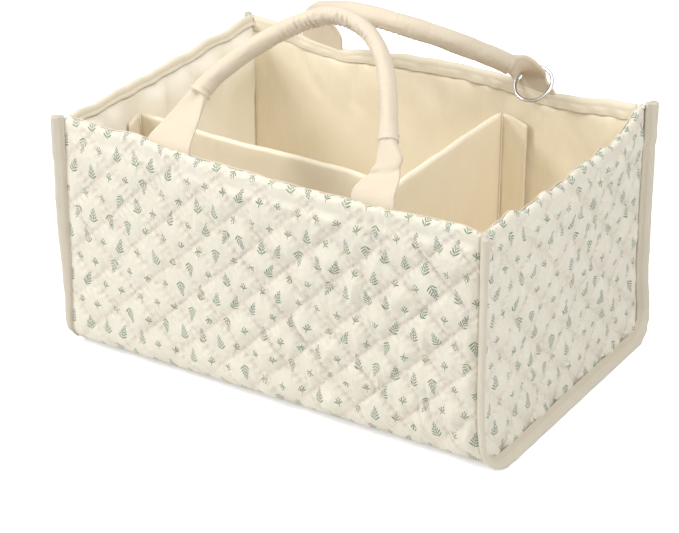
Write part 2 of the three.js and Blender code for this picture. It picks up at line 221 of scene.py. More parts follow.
# %% A wire between nodes
class Wire:
    """A node's socket that can be used in a Python expression."""

    def __init__(self, tree, socket=None):
        self.tree = tree
        self.socket = socket

    def node(self, kind, settings=None, sockets=None, output=0):
        new = self.tree.nodes.new(kind)
        for name, value in (settings or {}).items():
            setattr(new, name, value)
        for name, value in (sockets or {}).items():
            if isinstance(value, Wire):
                self.tree.links.new(value.socket, new.inputs[name])
            else:
                new.inputs[name].default_value = value
        return Wire(self.tree, new.outputs[output])

    def out(self, output):
        return Wire(self.tree, self.socket.node.outputs[output])

    def maths(self, operation, *values):
        return self.node("ShaderNodeMath", {"operation": operation}, dict(enumerate((self, *values))))

    def mix(self, colour, other):
        """A Mix node's two colours are its sockets 6 and 7, and their mix comes out of its third."""
        return self.node("ShaderNodeMix", {"data_type": "RGBA"}, {0: self, 6: colour, 7: other}, 2)

    def times_plus(self, factor, extra):
        return self.maths("MULTIPLY_ADD", factor, extra)

    def clamp(self):
        return self.node("ShaderNodeClamp", None, {0: self})

    def __add__(self, other):
        return self.maths("ADD", other)

    def __sub__(self, other):
        return self.maths("SUBTRACT", other)

    def __rsub__(self, other):
        return self.times_plus(-1, other)

    def __mul__(self, other):
        return self.maths("MULTIPLY", other)

    def __truediv__(self, number):
        return self * (1 / number)

    def __gt__(self, other):
        return self.maths("GREATER_THAN", other)

    def __abs__(self):
        return self.maths("ABSOLUTE")

    def __floor__(self):
        return self.maths("FLOOR")

    def __round__(self):
        return self.maths("ROUND")

    __radd__ = __add__
    __rmul__ = __mul__


print("wire ready")


# %% Helpers for finishes
def new_finish(name, colour, roughness):
    material = bpy.data.materials.new(name)
    material.use_nodes = True
    shader = material.node_tree.nodes["Principled BSDF"]
    shader.inputs["Base Color"].default_value = colour
    shader.inputs["Roughness"].default_value = roughness
    return material, shader, Wire(material.node_tree)


def feed(shader, name, wire):
    wire.tree.links.new(wire.socket, shader.inputs[name])


def raise_surface(shader, wire, height, strength):
    """Bump from a height in millimetres."""
    feed(shader, "Normal", wire.node("ShaderNodeBump", None, {
        "Strength": strength, "Distance": MM, "Height": height,
    }))


def on_cut(wire):
    """The map of the flat cloth, and millimetres along and up it."""
    cut = wire.node("ShaderNodeUVMap", {"uv_map": "cut"})
    place = wire.node("ShaderNodeSeparateXYZ", None, {0: cut})
    return cut, place / MM, place.out("Y") / MM


def clouds(wire, where, scale, detail):
    return wire.node("ShaderNodeTexNoise", None, {"Vector": where, "Scale": scale, "Detail": detail})


def creases(wire, cut, fine, coarse):
    """Noise that is drawn out up the cloth."""
    pulled = wire.node("ShaderNodeMapping", None, {"Vector": cut, "Scale": (fine, coarse, 1)})
    return clouds(wire, pulled, 1, 3)


def weave(along, up, pitch):
    """Plain weave: threads that pass over and under by turns."""
    rate = math.pi / pitch
    return (along * rate).maths("SINE") * (up * rate).maths("SINE")


print("finish helpers ready")

# %% [markdown]
# ## Light and floor
# The picture has a white ground and soft light from the front left, so the walls on the right are a
# little darker. Large area lamps over a bright world give soft shade. The camera sees the world as
# pure white, and polished metal sees a white ceiling over a dark room, which gives it its contrast.

# %% World
room_light = 0.46
ceiling_edge = 3
dark_room = 0.12
world = bpy.data.worlds.new("studio")
bpy.context.scene.world = world
world.use_nodes = True
sky = world.node_tree.nodes["Background"]
sky_wire = Wire(world.node_tree)
looking = sky_wire.node("ShaderNodeSeparateXYZ", None, {0: sky_wire.node("ShaderNodeTexCoord")})
ceiling = (looking.out("Z") * ceiling_edge + dark_room).clamp()
seen = sky_wire.node("ShaderNodeLightPath")
by_camera = seen.out("Is Camera Ray")
by_metal = seen.out("Is Glossy Ray")
inside = by_metal * ceiling + (1 - by_metal) * room_light
feed(sky, "Strength", by_camera + (1 - by_camera) * inside)
sky.inputs["Color"].default_value = (1, 1, 1, 1)
print("room light", room_light)


# %% Lamps
def soft_lamp(name, place, aim, size, power):
    lamp = bpy.data.objects.new(name, bpy.data.lights.new(name, "AREA"))
    lamp.data.shape = "DISK"
    lamp.data.size = size
    lamp.data.energy = power
    lamp.location = place
    lamp.rotation_euler = (Vector(aim) - Vector(place)).to_track_quat("-Z", "Y").to_euler()
    bpy.context.collection.objects.link(lamp)


middle = (0, 0, 0.1)
soft_lamp("key_lamp", (-1.05, -0.95, 1.2), middle, 0.6, 16.5)
soft_lamp("top_lamp", (0, -0.3, 2.2), middle, 1.2, 10.5)
soft_lamp("fill_lamp", (1.3, -0.5, 1.9), middle, 0.8, 22)
print("lamps", len(bpy.data.lights))

# %% Floor
floor_mesh = bmesh.new()
bmesh.ops.create_grid(floor_mesh, x_segments=1, y_segments=1, size=6)
floor_data = bpy.data.meshes.new("floor")
floor_mesh.to_mesh(floor_data)
floor_mesh.free()
floor = bpy.data.objects.new("floor", floor_data)
bpy.context.collection.objects.link(floor)
floor_finish, floor_shader, floor_wire = new_finish("white_floor", (0.92, 0.92, 0.92, 1), 0.9)
floor_seen = floor_wire.node("ShaderNodeLightPath").out("Is Camera Ray")
feed(floor_shader, "Emission Color", floor_seen.mix((0, 0, 0, 1), (1, 1, 1, 1)))
floor_shader.inputs["Emission Strength"].default_value = 0.5
floor_data.materials.append(floor_finish)
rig.stage(floor)
print("floor faces", len(floor_data.polygons))

# %% [markdown]
# ## The printed quilt
# The outside is off-white cotton with small leafy sprigs, quilted in diamonds. The print could be
# painted, but an image can't be used here, so each sprig is drawn by sums in its own cell of the
# flat cloth: long ovals for leaves and dots for buds, turned and moved by chance. The quilting
# stitches are drawn on the same flat cloth, so they lie in the valleys of the modelled quilt, and
# painted shade darkens the valleys and the stitch line between the threads. One more oval is a
# painted shadow in a short stretch of seam that gapes at the top of the right end.

# %% Sprigs of the print
def oval(side, up, middle, lean, length, width):
    """Square of the distance from an oval's middle, 1 on its edge."""
    sine = math.sin(math.radians(lean))
    cosine = math.cos(math.radians(lean))
    lengthwise = middle[0] * sine + middle[1] * cosine
    crosswise = middle[0] * cosine - middle[1] * sine
    far = side.times_plus(sine / length, up.times_plus(cosine / length, -lengthwise / length))
    wide = side.times_plus(cosine / width, up.times_plus(-sine / width, -crosswise / width))
    return far.times_plus(far, wide * wide)


def nearest(side, up, *ovals):
    """The nearest of some ovals, each given as its middle, lean, length and width."""
    best = oval(side, up, *ovals[0])
    for other in ovals[1:]:
        best = best.maths("MINIMUM", oval(side, up, *other))
    return best


def sprig_cells(along, up):
    """Place inside a jumbled cell of the print, and the throws of the dice for that cell."""
    cell_wide = 15.5
    cell_tall = 17.0
    wander = 2.4
    upright_share = 0.72
    swing_range = 0.9
    rows = up / cell_tall
    row = math.floor(rows)
    columns = along / cell_wide + row.maths("FLOORED_MODULO", 2) * 0.5
    column = math.floor(columns)
    cell = along.node("ShaderNodeCombineXYZ", None, {0: column, 1: row})
    chance = along.node("ShaderNodeTexWhiteNoise", {"noise_dimensions": "2D"}, {"Vector": cell})
    dice = along.node("ShaderNodeSeparateColor", None, {0: chance.out("Color")})
    x = (columns - column - 0.5) * cell_wide - (dice - 0.5) * wander
    y = (rows - row - 0.5) * cell_tall - (dice.out("Green") - 0.5) * wander
    y = y * (1 - 2 * (dice.out("Blue") > upright_share))
    swing = (chance - 0.5) * swing_range
    cosine = swing.maths("COSINE")
    sine = swing.maths("SINE")
    return abs(x * cosine + y * sine), y * cosine - x * sine, dice.out("Green"), chance


print("sprigs ready")

# %% Quilting stitches
quilt_wide = 37.5
quilt_tall = 36
quilt_start = (94, 115)
line_gap = 1 / math.hypot(1 / quilt_wide, 1 / quilt_tall)


def quilt_lines(along, up, ragged):
    """Distance from the nearest stitched line, a dash for each stitch and the puckers beside it."""
    stitch_length = 3.4
    stitch_gap = 0.3
    pucker_length = 5.2
    pucker_fades_by = 7
    right = (along - quilt_start[0]) / quilt_wide
    rise = (up - quilt_start[1]) / quilt_tall
    distances = []
    dashes = []
    puckers = []
    for one, other in ((right + rise, right - rise), (right - rise, right + rise)):
        distances.append(abs(one - round(one)) * line_gap)
        step = other * (line_gap / stitch_length)
        dashes.append((step - math.floor(step)) > stitch_gap)
        wave = other * (2 * math.pi * line_gap / pucker_length) + ragged * 9
        puckers.append(wave.maths("SINE") * (1 - distances[-1] / pucker_fades_by).clamp())
    first = distances[1] > distances[0]
    dash = first * dashes[0] + (1 - first) * dashes[1]
    return distances[0].maths("MINIMUM", distances[1]), dash, puckers[0] + puckers[1]


print("quilting lines", round(line_gap, 1), "mm apart")

# %% Printed cotton
# Where the painted shadow of the gaping seam lies on the flat cloth.
seam_gape = (1016, 158)


def printed_cotton():
    painted_groove_shade = (0.76, 0.64, 0.51, 1)
    painted_stitch_shade = (0.42, 0.33, 0.23, 1)
    thread_shade = (0.78, 0.70, 0.63, 1)
    painted_gape_shadow = (0.13, 0.09, 0.05, 1)
    material, shader, wire = new_finish("printed_cotton", (0.84, 0.81, 0.74, 1), 0.88)
    cut, along, up = on_cut(wire)
    side, rise, kind, shade = sprig_cells(along, up)
    tall_leaves = nearest(
        side, rise,
        ((0, -1.4), 0, 5.0, 0.3),
        ((1.9, -3.4), 50, 2.4, 0.56),
        ((1.7, -1.2), 42, 2.1, 0.5),
        ((1.3, 0.7), 36, 1.6, 0.46))
    tall_buds = nearest(
        side, rise,
        ((0.95, 2.3), 30, 0.85, 0.55),
        ((0, 3.1), 0, 0.85, 0.55),
        ((0.95, 4.0), 22, 0.8, 0.52),
        ((0, 5.3), 0, 1.0, 0.55))
    small_leaves = nearest(
        side, rise,
        ((0, -1.3), 0, 2.3, 0.3),
        ((1.6, 0.1), 60, 1.9, 0.5),
        ((0.95, 1.6), 26, 1.8, 0.46))
    small_buds = oval(side, rise, (0, 3.2), 0, 0.8, 0.55)
    ink_edge = 2.4
    tall = kind > 0.5
    leaves = ((1 - (tall * tall_leaves + (1 - tall) * small_leaves)) * ink_edge).clamp()
    buds = ((1 - (tall * tall_buds + (1 - tall) * small_buds)) * ink_edge).clamp()
    cloud = clouds(wire, cut, 40, 3)
    crumple = creases(wire, cut, 150, 85)
    distance, dash, puckers = quilt_lines(along, up, cloud)
    sewn = (1 - distance / 0.6).clamp()
    thread = sewn * dash
    groove = (1 - distance / 2.2).clamp()
    gape = ((1 - oval(along, up, seam_gape, 0, 13, 1.3)) * 2).clamp()
    ground = cloud.mix((0.70, 0.65, 0.54, 1), (0.775, 0.735, 0.63, 1))
    leaf = shade.mix((0.075, 0.165, 0.09, 1), (0.15, 0.24, 0.13, 1))
    bud = shade.mix((0.14, 0.19, 0.21, 1), (0.24, 0.28, 0.30, 1))
    colour = (leaves * 0.9).mix(ground, leaf)
    colour = (buds * 0.85).mix(colour, bud)
    # Painted shade: the quilting valleys take a warm, slightly darker tint for shade and light bounced in the cloth.
    colour = (groove * 0.25).mix(colour, painted_groove_shade)
    # Painted shade on the stitch line between the threads.
    colour = ((sewn - thread) * 0.3).mix(colour, painted_stitch_shade)
    colour = (thread * 0.6).mix(colour, thread_shade)
    # A painted shadow for the short stretch of seam that gapes at the top of the right end.
    colour = (gape * 0.9).mix(colour, painted_gape_shadow)
    feed(shader, "Base Color", colour)
    feed(shader, "Roughness", cloud * 0.12 + 0.8)
    height = weave(along, up, 0.8) * 0.03 + thread * 0.25 - groove * 0.5
    raise_surface(shader, wire, height + crumple * 2.2 + puckers * 0.32, 0.8)
    shader.inputs["Sheen Weight"].default_value = 0.15
    return material


quilt_finish = printed_cotton()
print("print nodes", len(quilt_finish.node_tree.nodes))

# %% [markdown]
# ## Plain cloth
# Lining, handles and tape are plain cotton in slightly different creams. Each could have a web of
# its own, but one recipe serves them all: a soft cloud of colour, a weave, creases stretched along
# the cloth, and rows of stitches at the places along the cloth where a sewing machine has run, with
# painted shade in the sunk rows. The left wall's lining is painted a shade lighter, as painted light
# for the light that comes through thin loose cloth, and the hem is painted a shade darker, as
# painted shade.

# %% Cream cottons
def cream_cotton(name, dark, light, pitch, crease, rows=()):
    stitch_length = 2.8
    stitch_gap = 0.3
    sunk_width = 1.3
    thread_width = 0.5
    painted_stitch_shade = (0.50, 0.41, 0.27, 1)
    material, shader, wire = new_finish(name, light, 0.9)
    cut, along, up = on_cut(wire)
    cloud = clouds(wire, cut, 28, 4)
    colour = cloud.mix(dark, light)
    height = weave(along, up, pitch) * 0.05 + creases(wire, cut, 160, 45) * crease
    for row in rows:
        stitch = up / stitch_length
        dash = (stitch - math.floor(stitch)) > stitch_gap
        away = abs(along - row)
        sunk = (1 - away / sunk_width).clamp()
        thread = (1 - away / thread_width).clamp() * dash
        # Painted shade darkens the sunk row of stitches.
        colour = (sunk * 0.55).mix(colour, painted_stitch_shade)
        colour = (thread * 0.8).mix(colour, light)
        height = height + thread * 0.3 - sunk * 0.5
    feed(shader, "Base Color", colour)
    feed(shader, "Roughness", cloud * 0.14 + 0.8)
    raise_surface(shader, wire, height, 0.6)
    shader.inputs["Sheen Weight"].default_value = 0.15
    return material


binding_girth = 24
binding_rows = (binding_girth * 0.3, binding_girth * 0.7)
lining_finish = cream_cotton("lining_cotton", (0.87, 0.77, 0.58, 1), (0.93, 0.85, 0.69, 1), 0.7, 1.2)
# A copy of the lining painted a shade lighter: painted light for the left wall.
lit_finish = cream_cotton("lit_lining", (0.95, 0.88, 0.73, 1), (0.98, 0.94, 0.83, 1), 0.7, 1.2)
binding_finish = cream_cotton(
    "binding_tape", (0.56, 0.51, 0.41, 1), (0.64, 0.59, 0.49, 1), 0.6, 0.6, binding_rows)
handle_finish = cream_cotton("handle_cloth", (0.65, 0.55, 0.42, 1), (0.72, 0.63, 0.50, 1), 0.7, 1.4)
# The hem cloth is painted a shade darker than the lining: painted shade for a band that tilts up to the light.
shaded_hem_finish = cream_cotton("hem_cotton", (0.71, 0.63, 0.475, 1), (0.765, 0.70, 0.565, 1), 0.7, 1.2)
core_finish = cream_cotton("core_cotton", (0.84, 0.82, 0.76, 1), (0.92, 0.90, 0.85, 1), 0.9, 0.3)
tape_finish = cream_cotton("fastener_tape", (0.78, 0.72, 0.60, 1), (0.88, 0.83, 0.72, 1), 0.5, 0.8)
print("binding stitched at", [round(row, 1) for row in binding_rows], "mm round the tape")

# %% [markdown]
# ## Steel and board
# The ring is bright polished wire with faint drawing marks. The boards can't be seen when the caddy
# is whole, but they are real pieces, so they get the speckled grey of bag board. Both could be one
# flat colour. A little noise on their own coordinates keeps them from looking like plastic.

# %% Steel and board
def polished_steel():
    material, shader, wire = new_finish("polished_steel", (0.7, 0.7, 0.71, 1), 0.12)
    marks = clouds(wire, wire.node("ShaderNodeTexCoord").out("Object"), 900, 2)
    feed(shader, "Roughness", marks * 0.1 + 0.08)
    shader.inputs["Metallic"].default_value = 1
    return material


def bag_board():
    material, shader, wire = new_finish("bag_board", (0.6, 0.58, 0.52, 1), 0.8)
    speck = clouds(wire, wire.node("ShaderNodeTexCoord").out("Object"), 1200, 2)
    feed(shader, "Base Color", speck.mix((0.5, 0.48, 0.42, 1), (0.72, 0.70, 0.64, 1)))
    raise_surface(shader, wire, speck * 0.2, 0.4)
    return material


steel_finish = polished_steel()
board_finish = bag_board()
for name, node in frame["nodes"].items():
    node.data.materials.clear()
    node.data.materials.append(core_finish if name.endswith("_core") else board_finish)
print("finishes", len(bpy.data.materials))

# %% [markdown]
# ## How the cloth stands
# Every panel is drawn straight, as cut, and then settled: the corners stand up, the rim sags between
# them, the walls bulge and the ends spread at the floor. A lattice could bend the panels, but one
# function that moves any point is easier to tune, and it keeps the lining inside the quilt. Small
# pushes at the rim follow the pull of the handles.

# %% Shape of the shell
half_length = 172
half_depth = 123
wall_height = 178
bottom_radius = 24
wall_thickness = 6.2
floor_top = 6.5
corner_rise = {"front_left": 11.5, "front_right": 10.5, "back_right": 10, "back_left": 7}
front_dip = 4
back_dip = 5.5
left_dip = 5.5
right_dip = 9
end_bulge = 6
side_bulge = 5
left_flare = 3.5
right_flare = 6
flare_height = 60
rim_ripple = 2.4
end_ripple = 4.5
ripple_length = 24
end_ripple_length = 15
# Each push has its place on the rim, its reach along the rim and how far it lifts.
rim_pushes = (
    (Vector((-108, -123)), 34, 3.5),
    (Vector((-106, 123)), 30, -8.5),
    (Vector((-60, 123)), 32, -5),
    (Vector((30, 123)), 40, 1),
    (Vector((104, 123)), 34, -6.5),
    (Vector((172, 80)), 30, -5),
    (Vector((172, -112)), 16, -3),
)
print("shell", 2 * half_length, "by", 2 * half_depth, "by", wall_height, "mm")


# %% Settling
def between(low, high, share):
    return low + (high - low) * share


def ease(low, high, value):
    share = min(1, max(0, (value - low) / (high - low)))
    return share * share * (3 - 2 * share)


def bell(distance, reach):
    return math.exp(-(distance / reach) ** 2)


def wobble(x, y, seed):
    return noise.noise(Vector((x, y, seed)))


def shares(x, y):
    """How far out towards the walls a place is, from -1 to 1 each way."""
    return min(1, max(-1, x / half_length)), min(1, max(-1, y / half_depth))


def rim_rise(x, y):
    u, v = shares(x, y)
    left = corner_rise["front_left"] * (1 - v) + corner_rise["back_left"] * (1 + v)
    right = corner_rise["front_right"] * (1 - v) + corner_rise["back_right"] * (1 + v)
    corners = (left * (1 - u) + right * (1 + u)) / 4
    side_dip = (front_dip if v < 0 else back_dip) * v * v * (1 - u * u)
    end_dip = (left_dip if u < 0 else right_dip) * u * u * (1 - v * v)
    return corners - side_dip - end_dip


def settle(x, y, z):
    u, v = shares(x, y)
    height = z / wall_height
    pull = sum(rise * bell((Vector((x, y)) - at).length, reach) for at, reach, rise in rim_pushes)
    pull += rim_ripple * wobble(x / ripple_length, y / ripple_length, 3)
    pull += end_ripple * max(0, u) ** 8 * wobble(x / ripple_length, y / end_ripple_length, 8)
    return Vector((
        x + end_bulge * (1 - v * v) * u ** 3 * height,
        y + side_bulge * (1 - u * u) * v ** 3 * height,
        z + rim_rise(x, y) * height + pull * height ** 3,
    ))


def soften(x, y, z):
    """Settled, and spread at the foot of the ends."""
    u = shares(x, y)[0]
    low = max(0, 1 - z / flare_height)
    flare = right_flare if u > 0 else left_flare
    return settle(x, y, z) + Vector((flare * u ** 3 * low * low, 0, 0))


print("rim at the front right", round(soften(half_length, -half_depth, wall_height).z, 1), "mm")

# %% [markdown]
# ## Sewing a panel
# A panel starts as a flat grid of small squares. Each corner is moved to its place, and the same
# corner keeps its place on the flat cloth as a UV map, so print and weave follow the cloth. A
# finished mesh could be unwrapped instead, but then the map would no longer be in true sizes.

# %% Cloth from a grid
def sew(steps, place, closed=False):
    """A grid whose corners go where place(a, b) says, in shares of the grid's two sides."""
    bm = bmesh.new()
    bmesh.ops.create_grid(bm, x_segments=steps[0], y_segments=steps[1], size=0.5)
    cut = bm.loops.layers.uv.new("cut")
    bm.verts.index_update()
    flat = []
    for vert in bm.verts:
        point, on_cloth = place(vert.co.x + 0.5, vert.co.y + 0.5)
        vert.co = point * MM
        flat.append((on_cloth[0] * MM, on_cloth[1] * MM))
    for face in bm.faces:
        for loop in face.loops:
            loop[cut].uv = flat[loop.vert.index]
    if closed:
        bmesh.ops.remove_doubles(bm, verts=bm.verts, dist=0.02 * MM)
        open_edges = [edge for edge in bm.edges if edge.is_boundary]
        bmesh.ops.holes_fill(bm, edges=open_edges, sides=0)
        bmesh.ops.recalc_face_normals(bm, faces=bm.faces)
    return bm


def make_piece(name, bm, finish, slot, body, replaced):
    mesh = bpy.data.meshes.new(name)
    bm.to_mesh(mesh)
    bm.free()
    mesh.polygons.foreach_set("use_smooth", [True] * len(mesh.polygons))
    mesh.materials.append(finish)
    piece = bpy.data.objects.new(name, mesh)
    bpy.context.collection.objects.link(piece)
    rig.slot(piece, slot)
    if body:
        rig.ride(piece, body)
    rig.replaces(piece, *replaced)
    print(name, len(mesh.polygons), "faces")
    return piece


def thicken(piece, thickness):
    wall = piece.modifiers.new("cloth", "SOLIDIFY")
    wall.thickness = thickness * MM
    wall.offset = -1


def turn_over(bm):
    bmesh.ops.reverse_faces(bm, faces=bm.faces)
    return bm


print("sewing helpers ready")

# %% [markdown]
# ## The quilt's relief
# Quilting pulls the cloth down along its lines and lets the wadding swell between them. A cloth
# simulation could do that, but a sum is steadier over a whole wall: a pillow for each diamond,
# puckers beside the lines, and creases that run down the wall where it slumps.

# %% Quilt relief
quilt_swell = 3.6
pucker_reach = 3.5
pucker_rate = 1.15
crush_depth = 5
hem_row = 167.5
hem_row_width = 2.2


def quilt_relief(u, w, seed, crush):
    """How far the quilt stands out at a place on the flat cloth. A crushed wall is more uneven."""
    right = (u - quilt_start[0]) / quilt_wide
    rise = (w - quilt_start[1]) / quilt_tall
    one = right + rise
    other = right - rise
    pillow = abs(math.sin(math.pi * one) * math.sin(math.pi * other)) ** 0.5
    size = 1 + 0.4 * wobble(math.floor(one) * 0.73, math.floor(other) * 0.73, seed)
    drift = 2.2 * wobble(u / 13, w / 13, seed + 2)
    pucker = 0
    for line, along in ((one, other), (other, one)):
        away = abs(line - round(line)) * line_gap / pucker_reach
        wave = math.sin(along * line_gap * pucker_rate + drift + round(line) * 2)
        pucker += away * math.exp(1 - away) * wave
    stray = wobble(u / 30, w / 30, seed + 4)
    crease = abs(wobble(u / 10 + stray, w / 36, seed + 5))
    slump = 1.1 * wobble(u / 17, w / 24, seed + 7) + crush_depth * crush * (crease - 0.2)
    swell = quilt_swell * between(0.45, 1, crush) * size
    return swell * pillow + 0.55 * pucker + slump * between(0.35, 1, pillow)


def hem_press(z):
    """How much of its swell the quilt keeps near the hem's row of stitches."""
    stitched = bell(z - hem_row, hem_row_width)
    return (1 - 0.9 * stitched) * (0.2 + 0.8 * ease(171, 161, z))


middle_swell = quilt_relief(quilt_start[0] + quilt_wide / 2, quilt_start[1], 11, 1)
print("a diamond stands", round(middle_swell, 1), "mm out")

# %% [markdown]
# ## The way down a wall
# The panels follow the wall from inside the rim, over it, down, and round the lower edge. That path
# could be a curve, but a list of stations is enough. Each has the way that faces out, so relief and
# thickness go straight out of the cloth even round the lower edge.

# %% Stations down a wall
rim_radius = wall_thickness / 2
rim_middle = wall_height - rim_radius
rim_pinch = 0.65
rim_steps = 6
edge_steps = 10
edge_angles = [math.pi / 2 * step / edge_steps for step in range(edge_steps + 1)]


def rim_stations(radius, start, finish, steps):
    """Over the rim: inset, height and the way that faces out, at angles from the wall's inside."""
    stations = []
    for step in range(steps + 1):
        angle = math.pi * between(start, finish, step / steps)
        squash = rim_pinch if math.cos(angle) > 0 else 1
        inset = rim_radius + squash * radius * math.cos(angle)
        stations.append((inset, rim_middle + radius * math.sin(angle), -math.cos(angle), math.sin(angle)))
    return stations


def quilt_rim():
    return rim_stations(rim_radius, 0.22, 1, rim_steps)


def wall_heights(step):
    rows = round((rim_middle - bottom_radius) / step)
    return [between(rim_middle, bottom_radius, row / rows) for row in range(1, rows)]


def wrap_stations(wall_step, base_step):
    """Down the front, under the base and up the back: y, height and the way that faces out."""
    half = [(inset - half_depth, z, -out, lift) for inset, z, out, lift in quilt_rim()]
    half += [(-half_depth, z, -1, 0) for z in wall_heights(wall_step)]
    flat_half = half_depth - bottom_radius
    for angle in edge_angles:
        half.append((
            -flat_half - bottom_radius * math.cos(angle),
            bottom_radius * (1 - math.sin(angle)),
            -math.cos(angle),
            -math.sin(angle),
        ))
    flats = round(flat_half / base_step)
    half += [(-flat_half * (1 - flat / flats), 0, 0, -1) for flat in range(1, flats)]
    back = [(-y, z, -out, lift) for y, z, out, lift in reversed(half)]
    return half + [(0, 0, 0, -1)] + back


def run_lengths(stations):
    runs = [0]
    for before, after in zip(stations, stations[1:]):
        runs.append(runs[-1] + math.hypot(after[0] - before[0], after[1] - before[1]))
    return runs


print("cloth round the wrap", round(run_lengths(wrap_stations(2, 2))[-1]), "mm")

# %% [markdown]
# ## Quilted wrap
# One quilted panel makes the front, the base and the back, and folds over the rim. It could be three
# panels, but the real one has no seam along its lower edges, so one grid goes all the way round. It
# lies flat under the base, is more crushed to the right, and gathers where the front straps pull.

# %% Quilted wrap
quilt_thickness = 2.4
wrap_seam = 9
front_feet = (-81, 87)
drag_height = 172


def sew_wrap():
    stations = wrap_stations(2.1, 5)
    runs = run_lengths(stations)
    steps = (158, len(stations) - 1)

    def place(a, b):
        index = round(b * steps[1])
        y, z, out_y, out_z = stations[index]
        x = between(-half_length, half_length, a)
        w = rim_middle - (runs[index] - runs[rim_steps])
        seam = ease(half_length, half_length - wrap_seam, abs(x))
        under = ease(-0.95, -0.1, out_z)
        crush = 0.3 + 0.7 * ease(-70, 40, x)
        lift = quilt_relief(x, w, 11, crush) * hem_press(z) * seam * under
        if y < 0:
            drag = bell(x - front_feet[1], 20) * bell(z - drag_height, 22)
            drag += 0.6 * bell(x - front_feet[0], 20) * bell(z - drag_height, 16)
            lift += 1.1 * drag * math.sin(x * 0.75 + 1.5 * wobble(x / 12, z / 30, 2))
        return soften(x, y + out_y * lift, z + out_z * lift), (x, w)

    return turn_over(sew(steps, place))


outer_wrap = make_piece(
    "outer_wrap", sew_wrap(), quilt_finish, "quilted_cotton", "caddy", ["wrap_outer_panel"])
thicken(outer_wrap, quilt_thickness)
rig.padded(outer_wrap, fill=0.3)

# %% [markdown]
# ## Quilted ends
# Each end is a smaller panel with rounded lower corners, cut from another stretch of the cloth. A
# boolean could round the corners, but grid rows that get shorter keep the print true. By the right
# end's front seam the cloth sinks in a little, where the seam gapes.

# %% Quilted ends
ends = {"left": -1, "right": 1}
end_inset = 1
end_seam = 8
end_cut = 10 * quilt_wide
slit_depth = 3
slit_from_edge = 13.3


def corner_reach(z, inset):
    """Half width of an end at a height, inside its rounded lower corners."""
    radius = bottom_radius - inset
    drop = max(0, bottom_radius - z)
    return half_depth - bottom_radius + math.sqrt(max(0, radius ** 2 - min(drop, radius) ** 2))


def end_stations(wall_step):
    stations = quilt_rim()
    stations += [(0, z, 1, 0) for z in wall_heights(wall_step)]
    radius = bottom_radius - end_inset
    return stations + [(0, bottom_radius - radius * math.sin(angle), 1, 0) for angle in edge_angles]


def sew_end(side):
    stations = end_stations(2.2)
    runs = run_lengths(stations)
    steps = (110, len(stations) - 1)

    def place(a, b):
        index = round(b * steps[1])
        inset, z, out_x, out_z = stations[index]
        reach = corner_reach(z, end_inset)
        y = between(-reach, reach, a)
        w = rim_middle - (runs[index] - runs[rim_steps])
        seam = ease(reach, reach - end_seam, abs(y)) * ease(1, 8, z)
        lift = quilt_relief(side * y + end_cut, w, 31 + side, 0.7) * hem_press(z) * seam
        if side > 0:
            slit = slit_depth * bell(y + reach - slit_from_edge, 1.2)
            lift -= slit * ease(142, 148, z) * ease(173, 169, z)
        x = side * (half_length - inset + out_x * lift)
        return soften(x, y, z + out_z * lift), (side * y + end_cut * (2 + side), w)

    bm = sew(steps, place)
    return turn_over(bm) if side > 0 else bm


for name, side in ends.items():
    panel = make_piece(
        f"outer_{name}", sew_end(side), quilt_finish, "quilted_cotton", "caddy", [f"{name}_outer_panel"])
    thicken(panel, quilt_thickness)
    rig.padded(panel, fill=0.3)

# %% [markdown]
# ## Lining
# The lining is plain cotton hung inside the boards, sewn under the hem. It is looser than the quilt,
# so it has shallow folds that run down the wall and fade at the floor, and it puffs out under the
# rim, most of all on the left. A cloth simulation could drape it, but sums can put the puffs where
# they belong and keep the cloth flat under the divider's flaps.

# %% Lining
lining_top = 174
lining_gap = 0.4
lining_thickness = 0.8
puff_height = 150
puff_gap = 38


def lining_fold(along, z, seed, puff, flap_at):
    """How far the lining stands in from its board."""
    hang = ease(4, 40, z) * ease(172, 165, z)
    broad = 1.0 * wobble(along / 34, z / 80, seed) + 0.5 * wobble(along / 12, z / 45, seed)
    loose = 1 - bell(along - flap_at, 20)
    tuck = (along + 9 * wobble(along / 40, z / 50, seed + 3)) / puff_gap
    tuck += 0.12 * (z - puff_height) / puff_gap
    tall = 23 + 8 * wobble(math.floor(tuck) * 0.7, 0, seed)
    lump = abs(math.sin(math.pi * tuck)) ** 0.6 * bell(z - puff_height, tall)
    fold = 0.25 * wobble(along / 9 + z / 16, z / 30, seed + 9) * ease(90, 140, z)
    hidden = 1.4 * ease(168, 174, z)
    return hang * (broad * between(0.3, 1, loose) + puff * loose * (lump + fold)) - hidden


def sew_lining_wrap():
    stations = [station for station in wrap_stations(3.6, 8) if station[1] <= lining_top]
    runs = run_lengths(stations)
    steps = (90, len(stations) - 1)
    reach = half_length - wall_thickness + 0.6

    def place(a, b):
        index = round(b * steps[1])
        y, z, out_y, out_z = stations[index]
        x = between(-reach, reach, a)
        fold = lining_fold(x, z, 41, 1.5, 45) if y < 0 else lining_fold(x, z, 47, 2.2, 70)
        depth = wall_thickness + lining_gap + fold
        return soften(x, y - out_y * depth, z - out_z * depth), (x, -runs[index])

    return sew(steps, place)


lining_wrap = make_piece(
    "lining_wrap", sew_lining_wrap(), lining_finish, "lining_cotton", "caddy", ["wrap_lining"])
thicken(lining_wrap, lining_thickness)
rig.sheet(lining_wrap, flat=(0.332, 0.515), held="stretched", rests_on=["base_stiffener"])


# %% Lining ends
def sew_lining_end(side):
    puff, flap_at = (8, -46) if side < 0 else (2, -200)

    def place(a, b):
        z = between(floor_top, lining_top, b ** 1.3)
        reach = corner_reach(z, wall_thickness) - 0.2
        y = between(-reach, reach, a)
        depth = wall_thickness + lining_gap + lining_fold(y, z, 53 + side, puff, flap_at)
        return soften(side * (half_length - depth), y, z), (y, z)

    bm = sew((64, 48), place)
    return turn_over(bm) if side > 0 else bm


